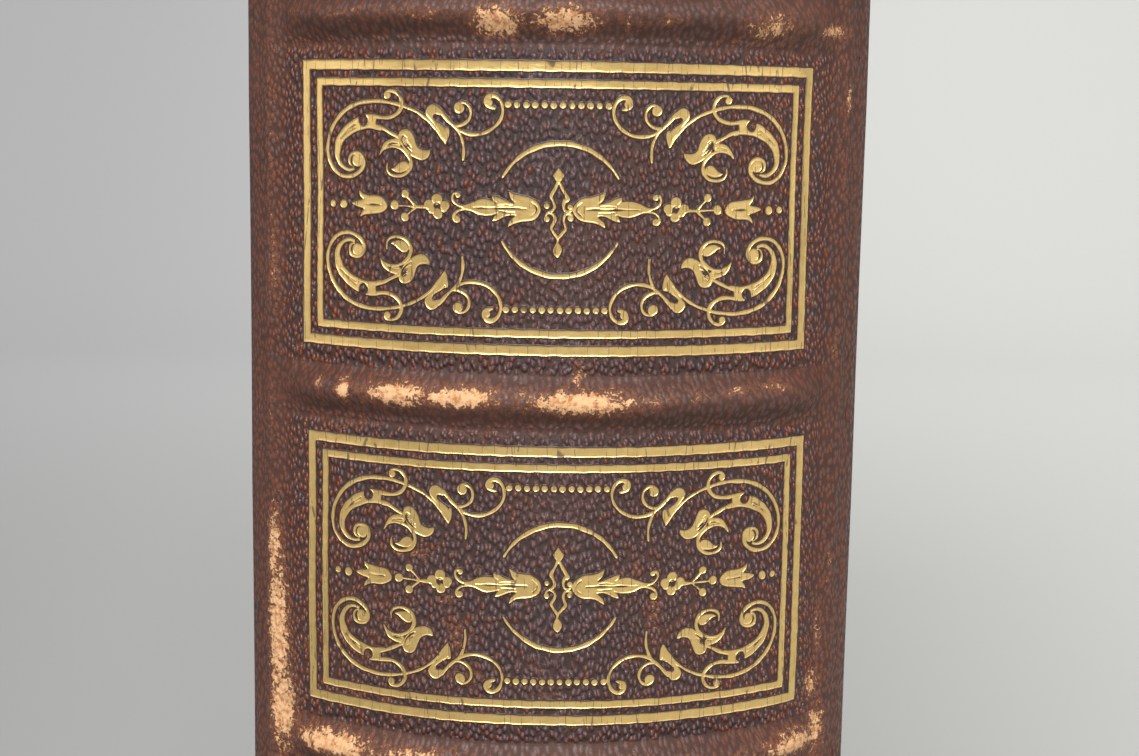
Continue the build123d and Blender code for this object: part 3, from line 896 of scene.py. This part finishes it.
def leather_material():
    """Pebbled goat leather. wear shows the undyed skin, rub flattens the grain."""
    s = Shader("grained_leather")
    uv = s.node("ShaderNodeUVMap", uv_map="UVMap")
    wear = s.attribute("wear")
    rub = s.attribute("rub")
    u = s.node("ShaderNodeSeparateXYZ", {"Vector": uv})
    # the grain leans one way on each side of the crown
    sway = s.node("ShaderNodeTexNoise", {"Vector": uv, "Scale": 0.35, "Detail": 2.0}, out=1)
    inputs = {0: sway, 1: (0.7, 0.7, 0.7), 2: uv}
    bent = s.node("ShaderNodeVectorMath", inputs, operation="MULTIPLY_ADD")
    distances, tints = [], []
    for angle in (radians(28), radians(-28)):
        cells = s.tree.nodes.new("ShaderNodeTexVoronoi")
        cells.voronoi_dimensions = "2D"
        cells.feature = "F1"
        cells.inputs["Scale"].default_value = 1.0
        cells.inputs["Randomness"].default_value = 0.85
        s.tree.links.new(s.mapped(bent, angle, (1.75, 1.05, 1.0)), cells.inputs["Vector"])
        distances.append(cells.outputs["Distance"])
        tints.append(cells.outputs["Color"])
    lean = s.ramp(u, -9.0, 9.0)
    pebble = s.add(s.mul(distances[0], s.sub(1.0, lean)), s.mul(distances[1], lean))
    tint = s.node("ShaderNodeSeparateColor", {"Color": s.mix(lean, tints[0], tints[1])})
    fine = s.noise(uv, 5.5, 3.0, 0.6)
    dome = s.ramp(pebble, 0.60, 0.10)
    grain = s.sub(1.0, s.mul(rub, 0.86))
    height = s.add(s.mul(dome, grain), s.mul(fine, 0.22))
    # colour of the dyed surface, with painted sheen: lilac-grey glints painted on the pebble tops,
    # and the crown painted more lilac than the red-brown sides
    broad = s.noise(uv, 0.055, 3.0, 0.6)
    patchy = s.noise(uv, 0.42, 3.0, 0.65)
    # painted sheen: near the crown the colour stays purple-lilac, towards the sides it turns
    # red-brown, standing in for the crown's reflection
    centre = s.ramp(s.math("ABSOLUTE", u), 8.0, 32.0)
    red_share = s.add(s.mul(centre, 0.34), s.mul(patchy, 0.7))
    red_share = s.add(red_share, s.mul(tint, 0.55))
    red = s.ramp(red_share, 0.62, 1.12)
    # painted glint: the pebble tops of this purple palette are lilac-grey
    dark = s.mix(dome, srgb(36, 17, 13), srgb(92, 68, 70))
    warm = s.mix(dome, srgb(58, 24, 12), srgb(122, 60, 32))
    dye_and_sheen = s.mix(red, dark, warm)
    dye_and_sheen = s.mix(s.mul(rub, 0.6), dye_and_sheen, srgb(66, 32, 12))
    dye_and_sheen = s.mix(s.ramp(broad, 0.35, 0.75, 0.0, 0.35), dye_and_sheen, srgb(88, 50, 34))
    # rubbed-through leather
    flake = s.noise(uv, 1.5, 7.0, 0.74, 0.9)
    speck = s.noise(uv, 4.2, 3.0, 0.6)
    level = s.add(wear, s.swing(flake, 1.55))
    level = s.add(level, s.swing(speck, 0.4))
    bare = s.ramp(level, 0.665, 0.72)
    scuffed = s.ramp(level, 0.43, 0.68)
    stain = s.ramp(s.noise(uv, 1.1, 6.0, 0.7), 0.36, 0.56)
    tan = s.mix(stain, srgb(164, 108, 64), srgb(214, 170, 126))
    color = s.mix(s.mul(scuffed, 0.75), dye_and_sheen, srgb(122, 68, 38))
    color = s.mix(bare, color, tan)
    rough = s.add(s.mul(fine, 0.16), s.ramp(dome, 0.0, 1.0, 0.5, 0.22))
    rough = s.add(rough, s.mul(rub, 0.1))
    rough = s.add(rough, s.mul(bare, 0.42), clamp=True)
    height = s.sub(height, s.mul(bare, 0.5))
    return s.finish(color, rough, s.bump(height, 1.0, 0.0003), specular=0.55)


def gold_material():
    """Gold leaf where edge is below zero; just outside it, a dark rim of pressed leather with
    painted shadow of the impression's wall.
    """
    s = Shader("antique_gold")
    uv = s.node("ShaderNodeUVMap", uv_map="UVMap")
    edge = s.attribute("edge")
    wear = s.attribute("wear")
    fine = s.noise(uv, 7.0, 3.0, 0.6)
    mottled = s.noise(uv, 0.9, 4.0, 0.6)
    ragged = s.add(edge, s.swing(fine, 0.05))
    gold_here = s.ramp(ragged, 0.012, -0.012)
    # fine cracks across the leaf
    stretched = s.mapped(uv, 0.06, (0.85, 0.05, 1.0))
    inputs = {"Vector": stretched, "Scale": 1.0, "Randomness": 1.0}
    settings = {"voronoi_dimensions": "2D", "feature": "DISTANCE_TO_EDGE"}
    crack_distance = s.node("ShaderNodeTexVoronoi", inputs, **settings)
    gate = s.ramp(s.noise(uv, 0.8, 2.0), 0.42, 0.55)
    crack = s.mul(s.ramp(crack_distance, 0.04, 0.012), gate)
    flakes = s.noise(uv, 2.6, 5.0, 0.7)
    lost = s.ramp(s.add(flakes, s.mul(s.sub(wear, DYED), 0.35)), 0.69, 0.72)
    gold = s.mul(gold_here, s.sub(1.0, s.math("MAXIMUM", s.mul(crack, 0.8), lost)))
    leaf_color = s.mix(mottled, srgb(196, 160, 92), srgb(232, 204, 140))
    leaf_color = s.mix(s.ramp(fine, 0.55, 0.8, 0.0, 0.35), leaf_color, srgb(170, 130, 70))
    # painted shadow: the dark rim stands for pressed leather and the shadowed wall of the
    # impression
    pressed = s.mix(fine, srgb(36, 20, 17), srgb(60, 34, 26))
    color = s.mix(gold, pressed, leaf_color)
    hollow = s.ramp(edge, 0.05, -0.12, 1.0, 0.0)
    height = s.add(hollow, s.mul(s.noise(uv, 3.2, 4.0, 0.6), 0.5))
    rough = s.add(s.mul(mottled, 0.14), s.ramp(fine, 0.2, 0.9, 0.26, 0.4))
    return s.finish(color, rough, s.bump(height, 0.9, 0.00006), metal=s.mul(gold, 0.9))


def object_coordinates(s):
    """Place on the piece in millimetres."""
    inputs = {0: s.node("ShaderNodeTexCoord", out=3), 3: 1 / MM}
    return s.node("ShaderNodeVectorMath", inputs, operation="SCALE")


def leaves_material():
    s = Shader("leaf_edges")
    p = object_coordinates(s)
    lines = s.noise(s.mapped(p, 0.0, (9.0, 0.05, 0.05)), 1.0, 3.0, 0.7)
    gather = s.noise(s.mapped(p, 0.0, (0.9, 0.02, 0.02)), 1.0, 2.0, 0.6)
    stain = s.noise(p, 0.045, 5.0, 0.62)
    spots = s.noise(p, 0.9, 3.0, 0.6)
    color = s.mix(lines, srgb(168, 140, 100), srgb(226, 206, 168))
    color = s.mix(s.ramp(gather, 0.3, 0.65, 0.35, 0.0), color, srgb(120, 92, 62))
    color = s.mix(s.ramp(stain, 0.45, 0.75, 0.0, 0.55), color, srgb(146, 108, 68))
    color = s.mix(s.ramp(spots, 0.66, 0.74, 0.0, 0.35), color, srgb(112, 76, 46))
    height = s.add(lines, s.mul(gather, 1.5))
    return s.finish(color, 0.85, s.bump(height, 0.9, 0.00025), specular=0.25)


def paper_material():
    s = Shader("aged_endpaper")
    p = object_coordinates(s)
    fibre = s.noise(p, 2.2, 5.0, 0.7)
    cloud = s.noise(p, 0.03, 4.0, 0.6)
    fox = s.noise(p, 0.28, 3.0, 0.6)
    color = s.mix(s.ramp(cloud, 0.3, 0.75), srgb(222, 204, 168), srgb(190, 160, 116))
    color = s.mix(s.ramp(fox, 0.68, 0.76, 0.0, 0.4), color, srgb(150, 104, 60))
    color = s.mix(s.mul(fibre, 0.25), color, srgb(176, 150, 110))
    return s.finish(color, 0.82, s.bump(fibre, 0.35, 0.00012), specular=0.3)


def board_material(name, light, dark):
    s = Shader(name)
    p = object_coordinates(s)
    fibre = s.noise(p, 1.4, 6.0, 0.75)
    layer = s.noise(s.mapped(p, 0.0, (3.0, 0.3, 0.3)), 1.0, 3.0, 0.6)
    color = s.mix(fibre, srgb(*dark), srgb(*light))
    return s.finish(color, 0.9, s.bump(s.add(fibre, layer), 0.6, 0.0002))


def wound_material(name, turns, one, two, slant):
    """Thread wound round a core that lies along the spine's curve."""
    s = Shader(name)
    p = object_coordinates(s)
    parts = s.tree.nodes.new("ShaderNodeSeparateXYZ")
    s.tree.links.new(p, parts.inputs[0])
    depth = s.sub(parts.outputs[1], AXIS_Y)
    angle = s.math("ARCTAN2", parts.outputs[0], s.mul(depth, -1.0))
    phase = s.mul(angle, turns)
    wave = s.math("SINE", s.add(phase, s.mul(parts.outputs[2], slant)))
    thread = s.math("SINE", s.mul(angle, turns * 7.0))
    fuzz = s.noise(p, 4.0, 4.0, 0.7)
    color = s.mix(s.ramp(wave, -0.15, 0.15), srgb(*one), srgb(*two))
    color = s.mix(s.mul(fuzz, 0.35), color, srgb(120, 86, 58))
    return s.finish(color, 0.6, s.bump(s.add(thread, fuzz), 0.8, 0.0001))


# greys of the backdrop and of the floor near the book, in linear light: left to right is painted
# light falloff, and the darker floor greys are painted shade
BACK_LEFT = (0.47, 0.475, 0.485, 1.0)
BACK_RIGHT = (0.66, 0.67, 0.65, 1.0)
FLOOR_LEFT = (0.245, 0.247, 0.25, 1.0)
FLOOR_RIGHT = (0.53, 0.54, 0.525, 1.0)


def backdrop_material():
    """Grey on the left, near white on the right, as one long soft gradient of painted light
    falloff; the floor near the book is painted darker, as painted shade.
    """
    s = Shader("paper_backdrop")
    p = s.node("ShaderNodeTexCoord", out=3)
    across = s.node("ShaderNodeSeparateXYZ", {"Vector": p})
    # painted light falloff: backdrop and floor are coloured grey on the left and near white on the
    # right
    painted_falloff = s.ramp(across, -0.42, 0.42)
    depth = s.node("ShaderNodeSeparateXYZ", {"Vector": p}, out=1)
    cloud = s.noise(p, 1.2, 2.0)
    color = s.mix(painted_falloff, BACK_LEFT, BACK_RIGHT)
    # painted shade: the floor near the book is coloured darker
    near = s.mix(painted_falloff, FLOOR_LEFT, FLOOR_RIGHT)
    color = s.mix(s.ramp(depth, 0.1, 0.9), near, color)
    color = s.mix(s.mul(cloud, 0.03), color, srgb(200, 200, 200))
    return s.finish(color, 0.9, specular=0.1)


# ---- stage, light and camera
def backdrop():
    """One sheet: floor under the book, swept up behind it."""
    profile = [(-1600.0, 0.0), (900.0, 0.0)]
    for a in np.linspace(0, pi / 2, 13)[1:]:
        profile.append((900 + 600 * sin(a), 600 * (1 - cos(a))))
    profile.append((1500.0, 2400.0))
    xs = np.linspace(-2400, 2400, 9)
    points = [[x, y, z] for y, z in profile for x in xs]
    obj = make_mesh("backdrop", points, grid_faces(len(profile), len(xs)))
    obj.data.materials.append(backdrop_material())


def area_light(name, location, target, size, energy, color):
    data = bpy.data.lights.new(name, "AREA")
    data.shape = "RECTANGLE"
    data.size, data.size_y = size
    data.energy = energy
    data.color = color
    obj = bpy.data.objects.new(name, data)
    obj.location = location
    aim = Vector(target) - Vector(location)
    obj.rotation_euler = aim.to_track_quat("-Z", "Y").to_euler()
    bpy.context.scene.collection.objects.link(obj)


def lighting():
    warm, white, middle = (1.0, 0.97, 0.93), (1.0, 1.0, 1.0), (0.0, 0.0, 0.13)
    key_color = (1.0, 0.98, 0.97)
    area_light("window", (-0.1, -0.95, 0.85), (0.0, -0.05, 0.13), (0.7, 0.5), 17.0, key_color)
    area_light("fill_left", (-1.3, -0.5, 0.5), middle, (0.8, 1.0), 4.5, warm)
    area_light("fill_right", (1.2, -0.7, 0.6), middle, (0.7, 0.9), 4.5, warm)
    area_light("background_light", (0.5, 0.5, 1.9), (0.1, 1.1, 0.2), (1.6, 0.8), 16.0, white)
    world = bpy.data.worlds.new("studio")
    world.use_nodes = True
    sky = world.node_tree.nodes["Background"]
    sky.inputs["Color"].default_value = (1.0, 0.98, 0.96, 1.0)
    sky.inputs["Strength"].default_value = 0.38
    bpy.context.scene.world = world


def camera():
    data = bpy.data.cameras.new("camera")
    data.sensor_width = 36.0
    data.lens = 57.1
    data.clip_start, data.clip_end = 0.01, 20.0
    obj = bpy.data.objects.new("camera", data)
    roll, pitch, yaw = 0.0164, 0.1441, 0.0218
    turn = Matrix.Rotation(roll, 3, "Y") @ Matrix.Rotation(pitch, 3, "X")
    turn = turn @ Matrix.Rotation(yaw, 3, "Z")
    right, forward, up = turn
    facing = Matrix((right, up, -forward)).transposed()
    obj.matrix_world = Matrix.Translation((-0.0028, -0.2714, 0.1555)) @ facing.to_4x4()
    bpy.context.scene.collection.objects.link(obj)
    bpy.context.scene.camera = obj


# ---- put together
leather = leather_material()
gold = gold_material()
leaves = leaves_material()
endpaper = paper_material()
pasteboard = board_material("pasteboard", (150, 126, 96), (104, 82, 58))
mull = board_material("mull", (196, 184, 150), (150, 136, 104))
silk = wound_material("headband_silk", 46.0, (140, 44, 34), (214, 190, 140), 1.2)
hemp = wound_material("hemp_cord", 60.0, (150, 124, 84), (176, 150, 106), 3.0)

NODE_MATERIALS = {
    "text_block": leaves,
    "spine_lining": mull,
    "spine_inlay": pasteboard,
    "headband_head": silk,
    "headband_tail": silk,
}
for number in range(1, 6):
    NODE_MATERIALS[f"raised_band_{number}"] = pasteboard
for number in range(1, 5):
    NODE_MATERIALS[f"sewing_cord_{number}"] = hemp
for side_name in ("front", "back"):
    NODE_MATERIALS[f"{side_name}_board"] = pasteboard
    NODE_MATERIALS[f"{side_name}_pastedown"] = endpaper
    NODE_MATERIALS[f"{side_name}_flyleaf"] = endpaper
for node, material in NODE_MATERIALS.items():
    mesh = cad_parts[node].data
    mesh.materials.clear()
    mesh.materials.append(material)

spine = spine_skin()
spine.data.materials.append(leather)
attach(spine, "block")
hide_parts("spine_leather")

COVERS = [(1, "front_cover", "front_cover_leather"), (-1, "back_cover", "back_cover_leather")]
for side, body, node in COVERS:
    skin = cover_skin(side)
    skin.data.materials.append(leather)
    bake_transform(skin)
    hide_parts(node)
    fold = inner_joint(side)
    fold.data.materials.append(endpaper)
    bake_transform(fold)

for key, centre_z in PANELS.items():
    cell = (FINE_CELL if key in PANEL_SHIFT else COARSE_CELL) * 1.0
    ornament = ornament_sheet(key, centre_z, cell)
    rules = rules_sheet(key, centre_z, cell, centre_z + 1)
    for piece in (ornament, rules):
        piece.data.materials.append(gold)
        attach(piece, "block")

bare = rules_sheet("2", BARE_PANEL_Z, COARSE_CELL, 5.0)
bare.data.materials.append(gold)
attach(bare, "block")

backdrop()
lighting()
camera()
bpy.context.scene.view_settings.view_transform = "Standard"
